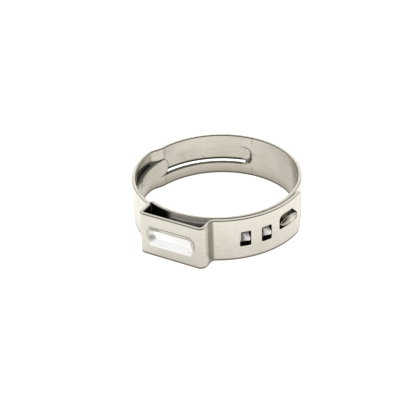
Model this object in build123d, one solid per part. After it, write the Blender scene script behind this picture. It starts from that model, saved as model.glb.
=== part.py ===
"""One-ear stepless hose clamp, folded from a single stainless strip.

The bore axis is Z and the origin lies on it, half-way up the strip. The ear points along -Y.
Angles are in degrees about Z from +X. From its free outer end the strip runs clockwise:
overlap, ear, outer layer, tongue channel, inner layer, tongue.
"""

import os
from math import asin, atan2, cos, degrees, radians, sin, tan

from build123d import *
from build123d import SkipClean

# Strip
bore_diameter = 24.1
band_width = 7.0
band_thickness = 0.6
layer_gap = 0.1
rim_chamfer = 0.12

# Ear
ear_inside_width = 9.8
ear_standoff = 1.65
ear_bend_radius = 0.4
ear_foot_radius = 0.5

# Dimple pressed into the ear's plate
dimple_length = 8.0
dimple_width = 3.1
dimple_depth = 0.55
dimple_wall_run = 0.95
dimple_corner_radius = 1.3
dimple_floor_radius = 0.4
dimple_lip_radius = 0.5

# Ends of the strip
overlap_end_angle = 5.0
end_lower_corner_radius = 1.3
end_upper_corner_radius = 0.4
shoulder_angle = -115.4
shoulder_corner_radius = 0.4
tongue_end_angle = -198.8
tongue_width = 2.9
tongue_corner_radius = 1.2

# Tongue channel, pressed out between two lanced slits
channel_clearance = 0.1
slit_width = 0.3
channel_start_angle = -182.0
rail_joggle_sweep = 13.0
channel_sweep = 85.0
channel_end_radius = 1.2
channel_end_slope = 45.0
slit_stop_sweep = 6.0

# Windows in the overlap, nearest the ear first, and the slot
window_angles = (-44.6, -29.7)
window_length = 1.75
window_height = 2.5
window_corner_radius = 0.2
slot_angle = -10.0
slot_length = 4.4
slot_height = 2.4
slot_rise = 0.8
slot_nose_chamfer = 1.5
slot_shoulder_radius = 0.9
slot_nose_radius = 0.4
slot_corner_radius = 0.2

# Load hooks drawn out of the inner layer
hook_end_clearance = 0.18
hook_side_clearance = 0.28
hook_height = 0.95
hook_top_length = 0.4
hook_top_width = 0.5
hook_wall = 0.3
hook_edge_radius = 0.2

# Guide hook, a long rounded ridge along the slot's lower side
guide_angle = -9.8
guide_length = 3.9
guide_width = 1.4
guide_height = 1.15
guide_clearance = 0.06
guide_wall = 0.3

bore_radius = bore_diameter / 2
inner_layer_radius = bore_radius + band_thickness / 2
inner_layer_face = bore_radius + band_thickness
outer_layer_radius = inner_layer_radius + band_thickness + layer_gap
outer_layer_face = outer_layer_radius + band_thickness / 2
rim = band_width / 2
channel_width = tongue_width + 2 * channel_clearance
bridge_width = channel_width - 2 * slit_width
rail_joggle_end = channel_start_angle - rail_joggle_sweep
channel_end_angle = channel_start_angle - channel_sweep
slit_stop_angle = channel_end_angle + slit_stop_sweep
plate_face = outer_layer_face + ear_standoff


def polar(radius, angle, height=0.0):
    """A point given by its radius and angle about the bore axis."""
    return Vector(radius * cos(radians(angle)), radius * sin(radians(angle)), height)


def facing_out(radius, angle, height=0.0):
    """A plane tangent to the ring: local x runs counter-clockwise, y up and z outwards."""
    return Plane(polar(radius, angle, height), x_dir=polar(1, angle + 90), z_dir=polar(1, angle))


def ring_arc(radius, start_angle, end_angle):
    return CenterArc((0, 0), radius, start_angle, end_angle - start_angle)


def joggle(start_radius, start_angle, end_radius, end_angle):
    """A smooth step from one layer's circle to the other's, running clockwise."""
    start = polar(start_radius, start_angle)
    end = polar(end_radius, end_angle)
    return Spline(start, end, tangents=(polar(1, start_angle - 90), polar(1, end_angle - 90)))


def strip_along(*edges):
    """The strip's full section, its rims' edges broken, swept along a route in the XY plane."""
    route = Wire(edges)
    section_plane = Plane(route @ 0, x_dir=(0, 0, 1), z_dir=route % 0)
    section = chamfer(Rectangle(band_width, band_thickness).vertices(), rim_chamfer)
    return sweep(section_plane * section, path=route)


def middle_slab(height):
    """All that lies within half this height of the strip's middle."""
    reach = 4 * bore_diameter
    return Box(reach, reach, height)


def outer_strip():
    """Overlap, ear and outer layer, up to where the tongue channel begins."""
    foot_radius = ear_foot_radius + band_thickness / 2
    bend_radius = ear_bend_radius + band_thickness / 2
    leg_x = (ear_inside_width + band_thickness) / 2
    plate_y = band_thickness / 2 - plate_face
    bend_x = leg_x - bend_radius
    bend_y = plate_y + bend_radius
    foot_x = leg_x + foot_radius
    foot_reach = outer_layer_radius + foot_radius
    foot_swing = degrees(asin(foot_x / foot_reach))
    foot_y = -foot_reach * cos(radians(foot_swing))
    return strip_along(
        ring_arc(outer_layer_radius, overlap_end_angle, foot_swing - 90),
        CenterArc((foot_x, foot_y), foot_radius, 90 + foot_swing, 90 - foot_swing),
        Line((leg_x, foot_y), (leg_x, bend_y)),
        CenterArc((bend_x, bend_y), bend_radius, 0, -90),
        Line((bend_x, plate_y), (-bend_x, plate_y)),
        CenterArc((-bend_x, bend_y), bend_radius, -90, -90),
        Line((-leg_x, bend_y), (-leg_x, foot_y)),
        CenterArc((-foot_x, foot_y), foot_radius, 0, 90 - foot_swing),
        ring_arc(outer_layer_radius, -90 - foot_swing, channel_start_angle),
    )


def tongue_channel():
    """Two rails step in to the inner layer, and the bridge between them stays out."""
    rails = strip_along(
        joggle(outer_layer_radius, channel_start_angle, inner_layer_radius, rail_joggle_end),
        ring_arc(inner_layer_radius, rail_joggle_end, slit_stop_angle),
    )
    bridge = strip_along(ring_arc(outer_layer_radius, channel_start_angle, slit_stop_angle))
    return [rails - middle_slab(channel_width), bridge & middle_slab(bridge_width)]


def drawn_end(outer_radius, grow=0.0):
    """The form of the channel's closed end, its walls sloping in as it goes outwards."""
    base_radius = bore_radius - layer_gap
    outset = grow + layer_gap * tan(radians(channel_end_slope))
    width = channel_width + 2 * outset
    outline = RectangleRounded(width + channel_width, width, channel_end_radius + outset)
    base = facing_out(base_radius, channel_end_angle) * Pos(channel_width, 0) * outline
    return extrude(base, outer_radius - base_radius + layer_gap, taper=channel_end_slope)


def wedge(radius, start_angle, arc_size):
    """A slice of a cylinder on the bore axis, as tall as the strip is wide."""
    on_axis = (Align.NONE, Align.NONE, Align.CENTER)
    slice_at_zero = Cylinder(radius, band_width, arc_size=arc_size, align=on_axis)
    return Rot(0, 0, start_angle) * slice_at_zero


def channel_end(band):
    """Where the slits stop, the bridge and the inner layer join in one sloping wall."""
    grow = band_thickness / cos(radians(channel_end_slope))
    arc_size = slit_stop_sweep + rail_joggle_sweep
    start_angle = slit_stop_angle - arc_size
    step = wedge(outer_layer_face, start_angle, arc_size)
    step -= wedge(inner_layer_radius, start_angle, arc_size)
    floor_radius = inner_layer_face + layer_gap
    band += drawn_end(outer_layer_face, grow) & step
    return band - (drawn_end(floor_radius) & Cylinder(floor_radius, band_width))


def inner_strip():
    """Inner layer from the channel's far end round under the ear, and the narrower tongue."""
    band_start = slit_stop_angle + 360
    band = channel_end(strip_along(ring_arc(inner_layer_radius, band_start, shoulder_angle)))
    tongue = strip_along(ring_arc(inner_layer_radius, shoulder_angle, tongue_end_angle))
    return [band, tongue & middle_slab(tongue_width)]


def corner_trim(end_angle, radius, end_side, height):
    """What rounding a strip's corner takes away. end_side is +1 where the strip's end is its
    counter-clockwise one, else -1; height is the corner's, and its sign tells top from bottom."""
    rise = 1 if height > 0 else -1
    square = Pos(-end_side * radius / 2, height - rise * radius / 2) * Rectangle(radius, radius)
    disc = Pos(-end_side * radius, height - rise * radius) * Circle(radius)
    plane = facing_out(bore_radius - band_thickness, end_angle)
    return extrude(plane * (square - disc), 4 * band_thickness)


def through_overlap(angle, outline, rise=0.0):
    """A hole through the overlap, for a hook of the inner layer to stand in."""
    return extrude(facing_out(bore_radius, angle, rise) * outline, 4 * band_thickness)


def slot_outline():
    """Upright on the ear's side, and slanting down above towards the free end."""
    corners = Rectangle(slot_length, slot_height).vertices().group_by(Axis.Y)
    outline = chamfer(corners[-1].sort_by(Axis.X)[-1], slot_nose_chamfer)
    shoulder = outline.vertices().group_by(Axis.Y)[-1].sort_by(Axis.X)[0]
    outline = fillet(shoulder, slot_shoulder_radius)
    outline = fillet(outline.vertices().group_by(Axis.Y)[0], slot_corner_radius)
    nose = outline.vertices().filter_by(on_nose)
    return fillet(nose, slot_nose_radius)


def on_nose(corner):
    """True for the two corners that the slanting side meets."""
    inset = slot_nose_chamfer
    across = abs(corner.X - slot_length / 2 + inset) < band_thickness / 100
    along = abs(corner.Y - slot_height / 2 + inset) < band_thickness / 100
    return (across and corner.Y > 0) or (along and corner.X > 0)


def overlap_windows():
    window = RectangleRounded(window_length, window_height, window_corner_radius)
    punches = [through_overlap(angle, window) for angle in window_angles]
    return punches + [through_overlap(slot_angle, slot_outline(), slot_rise)]


def dimple_form(mouth_y, grow, floor_radius):
    """The oblong pressed into the plate, from its mouth down to its floor, grown all round."""
    mouth = Plane((0, mouth_y, 0), x_dir=(1, 0, 0), z_dir=(0, 1, 0))
    length = dimple_length + 2 * grow
    width = dimple_width + 2 * grow
    run = 2 * dimple_wall_run
    wide = mouth * RectangleRounded(length, width, dimple_corner_radius + grow)
    corner_radius = dimple_corner_radius - dimple_wall_run + grow
    narrow = mouth.offset(dimple_depth) * RectangleRounded(length - run, width - run, corner_radius)
    form = loft([wide, narrow], ruled=True)
    floor_edges = form.edges().group_by(Axis.Y)[-1]
    return fillet(floor_edges, floor_radius)


def press_dimple(strip):
    """The dimple keeps the sheet's thickness: a form is added inside and a smaller one cut."""
    wall_slope = atan2(dimple_depth, dimple_wall_run)
    grow = band_thickness * tan(wall_slope / 2)
    outside_radius = dimple_floor_radius + band_thickness
    strip += dimple_form(band_thickness - plate_face, grow, outside_radius)
    strip -= dimple_form(-plate_face, 0, dimple_floor_radius)
    lip = strip.edges().filter_by(on_dimple_lip)
    return fillet(lip, dimple_lip_radius)


def on_dimple_lip(edge):
    middle = edge @ 0.5
    within_length = abs(middle.X) <= dimple_length / 2 + rim_chamfer
    within_width = abs(middle.Z) <= dimple_width / 2 + rim_chamfer
    return abs(middle.Y + plate_face) < rim_chamfer / 10 and within_length and within_width


def load_hook(angle, wall=0.0):
    """A half pyramid leaning on the window's edge away from the ear; with a wall, its hollow."""
    length = window_length - 2 * hook_end_clearance - 2 * wall
    width = window_height - 2 * hook_side_clearance - 2 * wall
    top_length = hook_top_length - wall / 2
    top_width = hook_top_width - wall / 2
    foot_radius = bore_radius - band_thickness if wall else inner_layer_radius
    foot = facing_out(foot_radius, angle) * Rectangle(length, width)
    top_plane = facing_out(inner_layer_face + hook_height - wall, angle)
    top = top_plane * Pos((length - top_length) / 2) * Rectangle(top_length, top_width)
    pyramid = loft([foot, top], ruled=True)
    if wall:
        return pyramid
    foot_edges = pyramid.edges().sort_by_distance(polar(0, 0))[:4]
    return fillet(pyramid.edges() - foot_edges, hook_edge_radius)


def guide_hook(wall=0.0):
    """Half an ellipsoid on upright walls, lying along the slot; with a wall, its hollow."""
    half_length = guide_length / 2 - wall
    half_width = guide_width / 2 - wall
    ridge = scale(Sphere(1), by=(half_length, half_width, half_width))
    ridge += extrude(Ellipse(half_length, half_width), -2 * band_thickness)
    rise = slot_rise - slot_height / 2 + guide_clearance + guide_width / 2
    centre_radius = inner_layer_face + guide_height - guide_width / 2
    placed = facing_out(centre_radius, guide_angle, rise).location * ridge
    return placed if wall else placed - Cylinder(bore_radius, 2 * band_width)


def hooked_band(band):
    """The inner layer with its two load hooks and its guide hook, drawn hollow from the bore."""
    band += [load_hook(angle) for angle in window_angles]
    band += guide_hook()
    band -= [load_hook(angle, hook_wall) for angle in window_angles]
    return band - guide_hook(guide_wall)


def clamp():
    outer = press_dimple(outer_strip() - overlap_windows())
    outer -= corner_trim(overlap_end_angle, end_lower_corner_radius, 1, -rim)
    outer -= corner_trim(overlap_end_angle, end_upper_corner_radius, 1, rim)
    band, tongue = inner_strip()
    band = hooked_band(band)
    for side in (1, -1):
        band -= corner_trim(shoulder_angle, shoulder_corner_radius, -1, side * rim)
        tongue -= corner_trim(tongue_end_angle, tongue_corner_radius, -1, side * tongue_width / 2)
    with SkipClean():
        return outer + tongue_channel() + [band, tongue]


os.makedirs("parts", exist_ok=True)
export_step(clamp(), "parts/clamp_band.step")
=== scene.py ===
"""One-ear stepless hose clamp in bare stainless strip, lying on a pale floor.

The frame is the part's own: bore axis Z, ear towards -Y, origin half-way up the strip.
Sizes and places are in millimetres, and angles in degrees round the bore, from +X towards +Y,
unless a comment says otherwise. MM turns millimetres into the frame's metres.
"""

from math import cos, degrees, hypot, radians, sin, sqrt

import bmesh
import bpy
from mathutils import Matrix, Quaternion, Vector


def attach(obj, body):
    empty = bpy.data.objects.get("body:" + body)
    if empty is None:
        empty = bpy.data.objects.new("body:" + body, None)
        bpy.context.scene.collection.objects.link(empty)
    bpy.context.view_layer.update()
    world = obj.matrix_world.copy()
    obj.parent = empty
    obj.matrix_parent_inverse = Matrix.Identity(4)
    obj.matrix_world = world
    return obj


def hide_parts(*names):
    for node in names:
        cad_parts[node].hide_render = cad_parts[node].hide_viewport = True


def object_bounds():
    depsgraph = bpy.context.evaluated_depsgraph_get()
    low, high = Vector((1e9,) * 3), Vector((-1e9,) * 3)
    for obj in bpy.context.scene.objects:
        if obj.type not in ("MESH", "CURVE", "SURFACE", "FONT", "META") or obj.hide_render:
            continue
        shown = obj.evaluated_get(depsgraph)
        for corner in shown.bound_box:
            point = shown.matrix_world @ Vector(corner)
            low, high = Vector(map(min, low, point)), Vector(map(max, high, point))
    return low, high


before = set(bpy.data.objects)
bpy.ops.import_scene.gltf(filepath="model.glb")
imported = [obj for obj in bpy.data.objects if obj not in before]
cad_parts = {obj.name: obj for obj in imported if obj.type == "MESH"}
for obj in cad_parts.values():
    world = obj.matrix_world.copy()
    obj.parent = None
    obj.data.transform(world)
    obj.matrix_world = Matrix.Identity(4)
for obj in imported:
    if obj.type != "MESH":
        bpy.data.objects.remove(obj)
cad_low, cad_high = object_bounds()

MM = 0.001

# Camera, with its aim as a direction
CAMERA_AT = Vector((89.13, -158.02, 112.23)) * MM
CAMERA_AIM = Vector((-0.4225, 0.7317, -0.5349))
CAMERA_ROLL = radians(-1.796)
CAMERA_LENS = 119.55

# Square lamp above and behind the clamp, in metres and watts
KEY_AT = Vector((-0.25, 0.3, 0.28))
KEY_SIDE = 0.3
KEY_POWER = 1.0

# Strip: its sheet, the gap between its layers, its rims' chamfer, and the radii of both layers'
# faces, from the bore outwards
SHEET = 0.6
LAYER_GAP = 0.1
RIM = 0.12
BORE = 12.05
INNER_BACK = BORE + SHEET
OUTER_LAYER = INNER_BACK + LAYER_GAP
OUTER_BACK = OUTER_LAYER + SHEET
HALF_HEIGHT = cad_high.z / MM
ONE_DEGREE = BORE * radians(1)

# Two windows with a load hook in each: their middles, and how far they reach on both sides
LOAD_HOOKS = (-44.6, -29.7)
LOAD_HOOK_REACH = (-2.9, 3.2)
LOAD_HOOK_HEIGHTS = (-0.8, 1.05)
WINDOW_REACH = (-4.0, 4.0)
WINDOW_HEIGHTS = (-1.35, 1.3)

# Slot with the guide hook, whose slanting top is given by its height at 0 degrees and its slope,
# and whose painted highlight spot by an angle and a height
SLOT_ANGLES = (-19.8, -0.4)
SLOT_HEIGHTS = (-0.5, 2.1)
GUIDE_HOOK_HEIGHTS = (-0.4, 1.5)
GUIDE_HOOK_TOP = 2.05
GUIDE_HOOK_SLOPE = 0.097
HIGHLIGHT_SPOT = (-9.0, 0.62)

# Ear: just past its legs' and its plate's inner faces, and a painted bright line on the band under it
EAR_INSIDE_WIDTH = 9.8
LEG_INSIDE = EAR_INSIDE_WIDTH / 2 + 0.07
PLATE_INSIDE = cad_low.y / MM + SHEET - 0.02
BRIGHT_LINE = (2.5, 2.8)

# Dimple's lip and floor: half of the length, half of the height and the corner's radius
DIMPLE_LIP = (4.0, 1.55, 1.3)
DIMPLE_FLOOR = (3.35, 0.8, 0.6)

# Ends: the inner layer's shoulder by the ear's left foot, the tongue's end and the channel's end
SHOULDER = -115.4
TONGUE_END = 161.2
CHANNEL_END = 94.0


# ---------------------------------------------------------------- materials

class Graph:
    """The nodes of a material or of the world, added one line at a time."""

    def __init__(self, owner):
        owner.use_nodes = True
        self.owner = owner
        self.nodes = owner.node_tree.nodes
        self.links = owner.node_tree.links
        self.nodes.clear()

    def add(self, kind, inputs=None, **settings):
        """A shader node, with what its sockets are fed and how it is set."""
        node = self.nodes.new("ShaderNode" + kind)
        for key, value in settings.items():
            setattr(node, key, value)
        for key, value in (inputs or {}).items():
            self.feed(node.inputs[key], value)
        return node

    def feed(self, socket, value):
        """Links another node to a socket, or writes a plain number or colour into it."""
        if isinstance(value, bpy.types.NodeSocket):
            self.links.new(value, socket)
        else:
            socket.default_value = value

    def math(self, operation, first, second=0.0):
        return self.add("Math", {0: first, 1: second}, operation=operation).outputs[0]

    def plus(self, first, second):
        return self.math("ADD", first, second)

    def minus(self, first, second):
        return self.math("SUBTRACT", first, second)

    def rest(self, share):
        """What a share leaves of 1."""
        return self.minus(1.0, share)

    def product(self, *values):
        total = values[0]
        for value in values[1:]:
            total = self.math("MULTIPLY", total, value)
        return total

    def largest(self, *values):
        total = values[0]
        for value in values[1:]:
            total = self.math("MAXIMUM", total, value)
        return total

    def length(self, across, up):
        """How far a point lies from where both of its values are 0."""
        squares = self.plus(self.product(across, across), self.product(up, up))
        return self.math("SQRT", squares)

    def ramp(self, value, low, high, low_to=0.0, high_to=1.0):
        """A soft step of a value: low_to below low, high_to above high."""
        limits = {"Value": value, "From Min": low, "From Max": high}
        limits.update({"To Min": low_to, "To Max": high_to})
        return self.add("MapRange", limits, interpolation_type="SMOOTHSTEP").outputs["Result"]

    def band(self, value, low, high, soft):
        """1 between low and high, and 0 outside."""
        rise = self.ramp(value, low - soft / 2, low + soft / 2)
        return self.product(rise, self.ramp(value, high - soft / 2, high + soft / 2, 1, 0))

    def noise(self, where, scale, detail, roughness):
        inputs = {"Vector": where, "Scale": scale, "Detail": detail, "Roughness": roughness}
        return self.add("TexNoise", inputs).outputs["Fac"]

    def mix(self, share, first, second):
        """The first colour where the share is 0, and the second where it is 1."""
        return self.add("Mix", {0: share, 6: first, 7: second}, data_type="RGBA").outputs[2]

    def seen_rays(self):
        """1 for a ray that the camera sees straight or in metal or glass."""
        rays = self.add("LightPath").outputs
        return self.largest(rays["Is Camera Ray"], rays["Is Glossy Ray"], rays["Is Transmission Ray"])


# Colours of the steel and of the coats over it; from the bore's shade down, they are painted shade
# and painted highlights
STEEL = (0.79, 0.75, 0.665, 1)
STEEL_DULL = (0.73, 0.69, 0.60, 1)
ROLLING_LINE = (0.60, 0.565, 0.50, 1)
EAR_PLATE = (0.66, 0.625, 0.55, 1)
STAIN = (0.36, 0.33, 0.27, 1)
BORE_SHADE = (0.30, 0.27, 0.195, 1)
BENT_SHADE = (0.13, 0.115, 0.085, 1)
RIM_SHADE = (0.09, 0.08, 0.06, 1)
GUIDE_HOOK_SHADE = (0.25, 0.225, 0.17, 1)
PAINTED_HIGHLIGHT = (0.97, 0.965, 0.95, 1)
HOOK_HIGHLIGHT = (0.95, 0.93, 0.89, 1)
PAINTED_SHADE = (0.018, 0.016, 0.013, 1)


class Steel:
    """Where a point lies on the strip, and soft-edged areas of the strip."""

    def __init__(self, g):
        self.g = g
        source = g.add("TexCoord").outputs
        to_mm = {"Vector": source["Object"], "Scale": (1 / MM, 1 / MM, 1 / MM)}
        self.place = g.add("Mapping", to_mm).outputs[0]
        self.x, self.y, self.z = g.add("SeparateXYZ", {"Vector": self.place}).outputs
        self.radius = g.length(self.x, self.y)
        # the angle jumps from 180 to -180 in the tongue's stretch, where the turn runs on
        self.angle = g.product(g.math("ARCTAN2", self.y, self.x), degrees(1))
        self.turn = g.math("MODULO", g.plus(self.angle, 360), 360)

        normal = g.add("SeparateXYZ", {"Vector": source["Normal"]}).outputs
        outward = g.plus(g.product(normal[0], self.x), g.product(normal[1], self.y))
        outward = g.math("DIVIDE", outward, self.radius)
        # which way the surface looks: level, towards the bore, or anywhere but away from it
        self.level = g.math("ABSOLUTE", normal[2])
        self.bore_side = g.ramp(outward, -0.6, -0.3, 1, 0)
        self.not_back = g.ramp(outward, 0.3, 0.6, 1, 0)

    def area(self, angles, heights, soft_angle=1.0, soft_height=0.2):
        """1 between two angles and two heights."""
        round_bore = self.g.band(self.angle, *angles, soft_angle)
        return self.g.product(round_bore, self.g.band(self.z, *heights, soft_height))

    def window(self, middle):
        first, last = WINDOW_REACH
        return self.area((middle + first, middle + last), WINDOW_HEIGHTS, 0.2, 0.1)

    def load_hook(self, middle):
        first, last = LOAD_HOOK_REACH
        return self.area((middle + first, middle + last), LOAD_HOOK_HEIGHTS, 0.3, 0.15)

    def within(self, radius, soft=0.1):
        """1 nearer to the bore's axis than a radius."""
        return self.g.ramp(self.radius, radius - soft / 2, radius + soft / 2, 1, 0)

    def beyond(self, low, high):
        """0 nearer to the bore's axis than the low radius, and 1 past the high one."""
        return self.g.ramp(self.radius, low, high)

    def outline(self, across, shape, line, soft):
        """A soft line along a rounded rectangle, whose shape is two halves and a corner's radius."""
        g = self.g
        half_across, half_up, corner = shape
        past = []
        for value, half in ((across, half_across), (self.z, half_up)):
            over = g.minus(g.math("ABSOLUTE", value), half - corner)
            past.append(g.math("MAXIMUM", over, 0.0))
        away = g.minus(g.length(*past), corner)
        return g.band(away, -line / 2, line / 2, soft)

    def round_end(self, end, half_height, corner, line, soft):
        """A soft line along a rounded end at an angle; the shape lies at larger angles."""
        half_length = 12.0    # the far end lies well outside the areas that use the line
        across = self.g.product(self.g.minus(self.angle, end), ONE_DEGREE)
        across = self.g.minus(across, half_length)
        return self.outline(across, (half_length, half_height, corner), line, soft)


def window_gaps(g, s):
    """Painted shade in the gaps beside the load hooks, down in their windows."""
    gaps = []
    for middle in LOAD_HOOKS:
        gap = g.product(s.window(middle), g.rest(s.load_hook(middle)))
        gaps.append(g.product(gap, s.within(OUTER_BACK - 0.05)))
    return g.largest(*gaps)


def slot_gaps(g, s):
    """Painted shade in the slot round the guide hook, lighter where light reaches its upper part, and
    under the hook and on its slanting top.
    """
    lit = g.product(g.ramp(s.z, 0.6, 0.9), g.band(s.angle, -14.5, -2.5, 3))
    slot = g.product(s.area(SLOT_ANGLES, SLOT_HEIGHTS, 0.3, 0.1), s.within(OUTER_BACK - 0.25, 0.2))
    slot = g.product(slot, g.ramp(lit, 0, 1, 1, 0.45))
    under = g.product(s.area((-18.5, -1.5), (-0.44, 0.08), 1.5, 0.14), 0.85)
    slant = g.plus(g.product(s.angle, GUIDE_HOOK_SLOPE), GUIDE_HOOK_TOP)
    above = g.product(g.ramp(g.minus(s.z, slant), 0, 0.15), g.ramp(s.angle, -6.5, -5, 1, 0))
    top = g.product(s.area((-19.8, -4), (-0.4, 1.4), 0.3, 0.1), above)
    top = g.product(top, s.beyond(OUTER_BACK + 0.02, OUTER_BACK + 0.05), 0.92)
    return g.largest(slot, under, top)


def load_hooks(g, s):
    """The load hooks themselves, which get a painted highlight."""
    hooks = g.largest(*[s.load_hook(middle) for middle in LOAD_HOOKS])
    return g.product(hooks, s.beyond(INNER_BACK + 0.05, INNER_BACK + 0.25))


def guide_hook_shade(g, s):
    """Painted shade on the guide hook, but for one long painted highlight spot on its back."""
    hook = s.area(SLOT_ANGLES, GUIDE_HOOK_HEIGHTS, 0.3, 0.1)
    hook = g.product(hook, s.beyond(OUTER_BACK + 0.01, OUTER_BACK + 0.05))
    spot_angle, spot_height = HIGHLIGHT_SPOT
    across = g.product(g.minus(s.angle, spot_angle), ONE_DEGREE * sqrt(0.5))
    away = g.length(across, g.minus(s.z, spot_height))
    return g.product(hook, g.ramp(away, 0.15, 0.7))


def channel_lines(g, s):
    """Shade along the slits, at the channel's round end and where the rails beside it bend."""
    marks = [
        g.product(s.area((101, 163), (-1.3, -0.88), 4, 0.2), 0.88),     # bridge's lower edge
        g.product(s.area((101, 166), (-1.66, -1.5), 3, 0.1), 0.6),      # rail below the lower slit
        g.product(s.area((104, 160), (1.18, 1.32), 3, 0.12), 0.3),      # bridge's upper edge
        g.product(s.area((163.5, 165.5), (1.5, 3.3), 1.5), 0.16),       # upper rail's two bends
        g.product(s.area((176, 178.5), (1.5, 3.3), 1.5), 0.16),
        g.product(s.area((163.5, 165.5), (-3.3, -1.8), 1.5), 0.16),     # lower rail's bend
        g.product(s.area((92.2, 93.2), (2.1, 3.4), 0.8, 0.3), 0.25),    # rails' far ends
        g.product(s.area((92.2, 93.6), (-3.3, -2.0), 1, 0.5), 0.18),
    ]
    round_end = s.round_end(CHANNEL_END, 1.4, 1.2, 0.5, 0.5)
    marks.append(g.product(round_end, s.area((86, 103), (-1.3, 1.75), 4), 0.65))
    return g.largest(*marks)


def tongue_lines(g, s):
    """Shade round the tongue's end, along its upper edge and on the outer layer above it."""
    round_end = s.round_end(TONGUE_END, 1.5, 1.25, 0.2, 0.2)
    end = g.product(round_end, s.area((156, 170), (-1.7, 1.7), 4), 0.85)
    edge = g.product(g.band(s.turn, 163, 205, 4), g.band(s.z, 1.3, 1.5, 0.1), 0.6)
    wedge_foot = g.plus(g.product(g.minus(s.turn, 170), 0.047), 1.5)
    wedge = g.ramp(g.minus(s.z, wedge_foot), -0.15, 0.15, 1, 0)
    wedge = g.product(wedge, g.band(s.turn, 168, 206, 6), g.ramp(s.z, 0.8, 1.2))
    wedge = g.product(wedge, s.beyond(INNER_BACK + 0.01, INNER_BACK + 0.05), 0.95)
    return g.largest(end, edge, wedge)


def dimple_lines(g, s):
    """Shade along the dimple's upper lips and round its ends, with two soft spots in its left end."""
    lip = g.product(s.outline(s.x, DIMPLE_LIP, 0.16, 0.2), 0.7)
    floor = g.product(s.outline(s.x, DIMPLE_FLOOR, 0.16, 0.2), 0.6)
    ends = g.plus(g.ramp(s.x, -3.4, -2.2, 0.5, 1), g.ramp(s.x, 2.2, 3.4, 0, 0.35))
    marks = [g.product(g.largest(lip, floor), g.ramp(s.z, -0.9, 0.4), ends)]
    for x, z, size, shade in ((-3.3, -0.4, 0.8, 0.62), (-3.2, 1.25, 0.8, 0.4)):
        away = g.length(g.minus(s.x, x), g.minus(s.z, z))
        marks.append(g.product(g.ramp(away, size * 0.2, size, 1, 0), shade))
    return g.largest(*marks)


def ear_cavity(g, s):
    """Deep shade under the ear, and apart from it the stretch of band there that light reaches."""
    under = g.product(g.band(s.y, PLATE_INSIDE, -11.0, 0.1),
                      g.band(s.x, -LEG_INSIDE, LEG_INSIDE, 0.05),
                      s.beyond(INNER_BACK - 0.1, INNER_BACK - 0.01))
    left = g.ramp(s.x, -2.2, -0.6, 1, 0)
    right = g.rest(left)
    lit = g.product(under, right, s.within(OUTER_LAYER))
    below_line = g.minus(g.ramp(s.z, 2.75, 3.0, 0.62, 0.05), g.band(s.z, *BRIGHT_LINE, 0.12))
    below_line = g.largest(below_line, 0.0)
    deep = g.largest(g.product(left, 0.96), g.product(below_line, right))
    shade = g.product(under, deep, g.ramp(s.z, 3.3, 3.42, 1, 0.3))
    left_foot = g.product(g.band(s.y, -13.0, -10.5, 0.1), g.band(s.x, -7.0, -4.9, 0.1),
                          g.band(s.radius, INNER_BACK - 0.03, OUTER_LAYER + 0.2, 0.06),
                          g.ramp(s.angle, SHOULDER, SHOULDER + 0.2), 0.8)
    return g.largest(shade, left_foot), lit


def bent_edges(g, s):
    """Shade where the faces roll over to the rims, at the free end and in the ear's right foot."""
    lower = g.ramp(s.z, -3.32, -2.95, 0.95, 0)
    upper = g.ramp(s.z, 3.25, 3.42, 0, 0.25)
    free_end = g.product(g.ramp(s.angle, 3.9, 4.9), g.ramp(s.angle, 6, 7, 1, 0),
                         s.beyond(OUTER_BACK - 0.15, OUTER_BACK - 0.05), 0.6)
    rolled = g.product(g.largest(lower, upper, free_end), g.ramp(s.level, 0.1, 0.3, 1, 0))
    right_foot = g.product(g.band(s.angle, -67.9, -64.8, 0.8), g.band(s.y, -13.5, -12.0, 0.2),
                           s.beyond(OUTER_BACK - 0.05, OUTER_BACK + 0.05), 0.62)
    return g.largest(rolled, right_foot)


def bore_shade(g, s):
    """Painted shade on the bore's side, darker low down and towards the right."""
    low_down = g.ramp(s.z, -3.4, -1.4, 0.55, 0.2)
    right = g.product(g.band(s.angle, 27, 48, 18), 0.7)
    return g.product(s.bore_side, g.largest(low_down, right))


def rim_shade(g, s):
    """Painted shade on the chamfers along the strip's rims, darkest on the bore's side."""
    chamfer = g.band(s.level, 0.5, 0.9, 0.1)
    at_rim = g.ramp(g.math("ABSOLUTE", s.z), HALF_HEIGHT - RIM - 0.05, HALF_HEIGHT - RIM)
    return g.product(chamfer, at_rim, g.ramp(s.bore_side, 0, 1, 0.42, 0.72))


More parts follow.
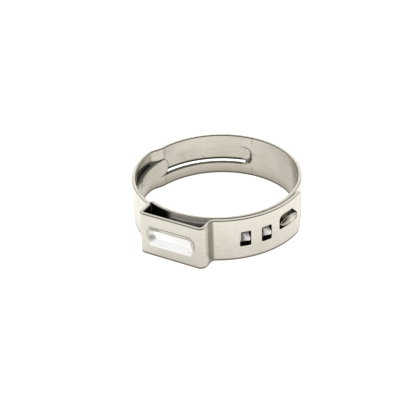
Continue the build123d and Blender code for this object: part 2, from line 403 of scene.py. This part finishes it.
def steel_material():
    """Rolled stainless: coats of colour over one another, each with the share that it covers; several
    coats are painted shade and painted highlights.
    """
    g = Graph(bpy.data.materials.new("rolled stainless"))
    s = Steel(g)
    along = g.add("Mapping", {"Vector": s.place, "Scale": (0.12, 0.12, 2.2)}).outputs[0]
    rolling = g.noise(along, 1.6, 3.0, 0.55)
    mottle = g.noise(s.place, 0.22, 2.0, 0.5)
    stains = g.noise(s.place, 0.8, 4.0, 0.65)

    plate = g.product(g.ramp(s.y, -13.6, -13.2, 1, 0), g.band(s.x, -5.3, 5.3, 0.3))
    # the dimple's floor, which gets a painted reflection of a bright light
    dimple = g.product(g.band(s.x, -3.5, 3.4, 0.4), g.band(s.z, -1.65, 0.75, 0.25), plate)
    hooks = load_hooks(g, s)
    cavity, lit_band = ear_cavity(g, s)
    # deep painted shade in the windows and slot, along the channel and tongue, round the dimple and
    # under the ear
    openings = g.product(g.largest(window_gaps(g, s), slot_gaps(g, s)),
                         s.beyond(INNER_BACK - 0.07, INNER_BACK - 0.02))
    inside = g.product(g.largest(channel_lines(g, s), tongue_lines(g, s)),
                       s.within(OUTER_LAYER + 0.25), s.not_back)
    dark = g.largest(openings, inside, g.product(dimple_lines(g, s), plate), cavity)

    coats = [
        (STEEL_DULL, g.ramp(mottle, 0.35, 0.65)),
        (ROLLING_LINE, g.ramp(rolling, 0.5, 0.7, 0, 0.12)),
        (EAR_PLATE, g.product(plate, 0.9)),
        (STAIN, g.ramp(stains, 0.55, 0.75, 0, 0.3)),
        (BORE_SHADE, bore_shade(g, s)),
        (BENT_SHADE, bent_edges(g, s)),
        # painted highlights: the dimple's floor as a reflection of bright light, and a bright line on
        # the band under the ear
        (PAINTED_HIGHLIGHT, dimple),
        (PAINTED_HIGHLIGHT, g.product(lit_band, g.band(s.z, *BRIGHT_LINE, 0.12))),
        # painted highlight on the load hooks
        (HOOK_HIGHLIGHT, hooks),
        # painted shade on the guide hook, with its painted highlight spot left out
        (GUIDE_HOOK_SHADE, g.product(guide_hook_shade(g, s), 0.6)),
        # painted shade on the rims' chamfers
        (RIM_SHADE, rim_shade(g, s)),
        # deep painted shade in gaps, recesses and under the ear
        (PAINTED_SHADE, dark),
    ]
    colour = STEEL
    for coat, share in coats:
        colour = g.mix(share, colour, coat)

    # the hooks and the lit band are less metallic, so that light shows on them, not a dark mirror
    rough = g.plus(g.ramp(rolling, 0.3, 0.7, 0.22, 0.28), g.product(dark, 0.3))
    metallic = g.rest(g.largest(g.product(hooks, 0.65), g.product(lit_band, 0.85)))
    shader = g.add("BsdfPrincipled", {"Metallic": metallic, "Base Color": colour, "Roughness": rough})
    g.add("OutputMaterial", {"Surface": shader.outputs[0]})
    return g.owner


def floor_material():
    """Pale floor that also glows, only for the camera and in what mirrors it."""
    g = Graph(bpy.data.materials.new("pale floor"))
    diffuse = g.add("BsdfDiffuse", {"Color": (0.8, 0.8, 0.8, 1)})
    rays = g.add("LightPath").outputs
    glow = g.plus(g.product(rays["Is Camera Ray"], 0.4), g.product(g.seen_rays(), 0.42))
    glow = g.add("Emission", {"Strength": glow})
    both = g.add("AddShader", {0: diffuse.outputs[0], 1: glow.outputs[0]})
    g.add("OutputMaterial", {"Surface": both.outputs[0]})
    return g.owner


# ------------------------------------------------------------------- clamp

# Steps between the mesh's cuts, and how far inside its ring a flat facet lies at most
STEP_ROUND = 3
STEP_UP = 0.5
MERGE = 0.001
FACET_SAG = 0.021

# Edges punched through the outer layer's back get a small roll; sharp ones aren't shaded over
PUNCHED_ROLL = 0.05
PUNCHED_ANGLE = radians(70)
ON_BACK = 0.002
OFF_RIM = 0.3
SHARP_ANGLE = radians(38)


def cut_across(work, at, normal):
    everything = work.verts[:] + work.edges[:] + work.faces[:]
    bmesh.ops.bisect_plane(work, geom=everything, dist=MERGE * MM, plane_co=at, plane_no=normal)


def cut_round(work):
    """Cuts through the bore's axis, at even steps round it."""
    for step in range(180 // STEP_ROUND):
        angle = radians(STEP_ROUND * (step + 0.5))
        cut_across(work, (0, 0, 0), (cos(angle), sin(angle), 0))


def cut_along(work):
    """Level cuts, at even steps up the strip."""
    steps = round(HALF_HEIGHT / STEP_UP)
    for step in range(1 - steps, steps):
        cut_across(work, (0, 0, STEP_UP * step * MM), (0, 0, 1))


def put_on_rings(work):
    """The cuts cross flat facets, so their corners move out onto the true round faces."""
    faces = (BORE, INNER_BACK, OUTER_LAYER, OUTER_BACK)
    rims = (BORE + RIM, INNER_BACK - RIM, OUTER_LAYER + RIM, OUTER_BACK - RIM)
    rings = [ring * MM for ring in faces + rims]
    for corner in work.verts:
        radius = hypot(corner.co.x, corner.co.y)
        ring = min(rings, key=lambda ring: abs(ring - radius))
        if abs(ring - radius) < FACET_SAG * MM:
            corner.co.x *= ring / radius
            corner.co.y *= ring / radius


def is_punched_edge(edge):
    """True for the edges of the windows and the slot, all on the ear's side of the bore."""
    if not edge.is_manifold or edge.calc_face_angle() < PUNCHED_ANGLE:
        return False
    for corner in edge.verts:
        radius = hypot(corner.co.x, corner.co.y)
        if abs(radius - OUTER_BACK * MM) > ON_BACK * MM:
            return False
        if abs(corner.co.z) > (HALF_HEIGHT - OFF_RIM) * MM or corner.co.y > 0:
            return False
    return True


def clamp_mesh():
    """The solid's own mesh, merged, with its long triangles turned into short even faces."""
    work = bmesh.new()
    work.from_mesh(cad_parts["clamp_band"].data)
    bmesh.ops.remove_doubles(work, verts=work.verts, dist=MERGE * MM)
    cut_round(work)
    put_on_rings(work)
    bmesh.ops.dissolve_limit(work, angle_limit=radians(1), use_dissolve_boundaries=False,
                             verts=work.verts[:], edges=work.edges[:])
    cut_round(work)
    cut_along(work)
    put_on_rings(work)
    punched = [edge for edge in work.edges if is_punched_edge(edge)]
    bmesh.ops.bevel(work, geom=punched, affect="EDGES", offset=PUNCHED_ROLL * MM, segments=2,
                    profile=0.5, material=-1, clamp_overlap=True)
    work.normal_update()
    for edge in work.edges:
        edge.smooth = edge.calc_face_angle() < SHARP_ANGLE
    for face in work.faces:
        face.smooth = True
    mesh = bpy.data.meshes.new("clamp")
    work.to_mesh(mesh)
    work.free()
    return mesh


def make_clamp():
    mesh = clamp_mesh()
    mesh.materials.append(steel_material())
    clamp = bpy.data.objects.new("clamp", mesh)
    bpy.context.scene.collection.objects.link(clamp)
    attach(clamp, "root")
    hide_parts("clamp_band")


# ------------------------------------------------------------ floor and light

def make_floor():
    """A level square under the clamp's lower rim, with its size in metres."""
    mesh = bpy.data.meshes.new("floor")
    work = bmesh.new()
    bmesh.ops.create_grid(work, x_segments=1, y_segments=1, size=2.0)
    bmesh.ops.translate(work, verts=work.verts, vec=(0, 0, cad_low.z))
    work.to_mesh(mesh)
    work.free()
    mesh.materials.append(floor_material())
    floor = bpy.data.objects.new("floor", mesh)
    bpy.context.scene.collection.objects.link(floor)


def key_lamp():
    """A lamp that aims at the origin and isn't mirrored in the steel."""
    light = bpy.data.lights.new("key", "AREA")
    light.shape = "SQUARE"
    light.size = KEY_SIDE
    light.energy = KEY_POWER
    lamp = bpy.data.objects.new("key", light)
    lamp.location = KEY_AT
    lamp.visible_glossy = False
    lamp.rotation_mode = "QUATERNION"
    lamp.rotation_quaternion = (-KEY_AT).to_track_quat("-Z", "Y")
    bpy.context.scene.collection.objects.link(lamp)


def light_world():
    """White all round, which the steel mirrors darker overhead in front and at the horizon."""
    world = bpy.data.worlds.new("studio")
    bpy.context.scene.world = world
    g = Graph(world)
    way = g.add("TexCoord").outputs["Generated"]
    x, y, z = g.add("SeparateXYZ", {"Vector": way}).outputs
    to_the_back = g.plus(g.product(x, -0.5), g.product(y, 0.866))
    overhead = g.product(g.ramp(z, 0.5, 0.75), g.ramp(to_the_back, 0.1, 0.6, 1, 0), 0.75)
    horizon = g.product(g.band(z, -0.1, 0.2, 0.15), 0.3)
    rays = g.add("LightPath").outputs
    mirrored = g.largest(rays["Is Glossy Ray"], rays["Is Transmission Ray"])
    mirrored = g.product(mirrored, g.rest(g.largest(overhead, horizon)))
    strength = g.largest(rays["Is Camera Ray"], mirrored, g.product(rays["Is Diffuse Ray"], 0.8))
    background = g.add("Background", {"Color": (1, 1, 1, 1), "Strength": strength})
    g.add("OutputWorld", {"Surface": background.outputs[0]})


def place_camera():
    camera = bpy.data.objects.new("camera", bpy.data.cameras.new("camera"))
    camera.data.lens = CAMERA_LENS
    camera.data.clip_start = 0.01
    camera.data.clip_end = 10
    camera.location = CAMERA_AT
    camera.rotation_mode = "QUATERNION"
    roll = Quaternion((0, 0, 1), CAMERA_ROLL)
    camera.rotation_quaternion = CAMERA_AIM.to_track_quat("-Z", "Y") @ roll
    bpy.context.scene.collection.objects.link(camera)
    bpy.context.scene.camera = camera


make_clamp()
make_floor()
light_world()
key_lamp()
place_camera()
bpy.context.scene.view_settings.view_transform = "Standard"
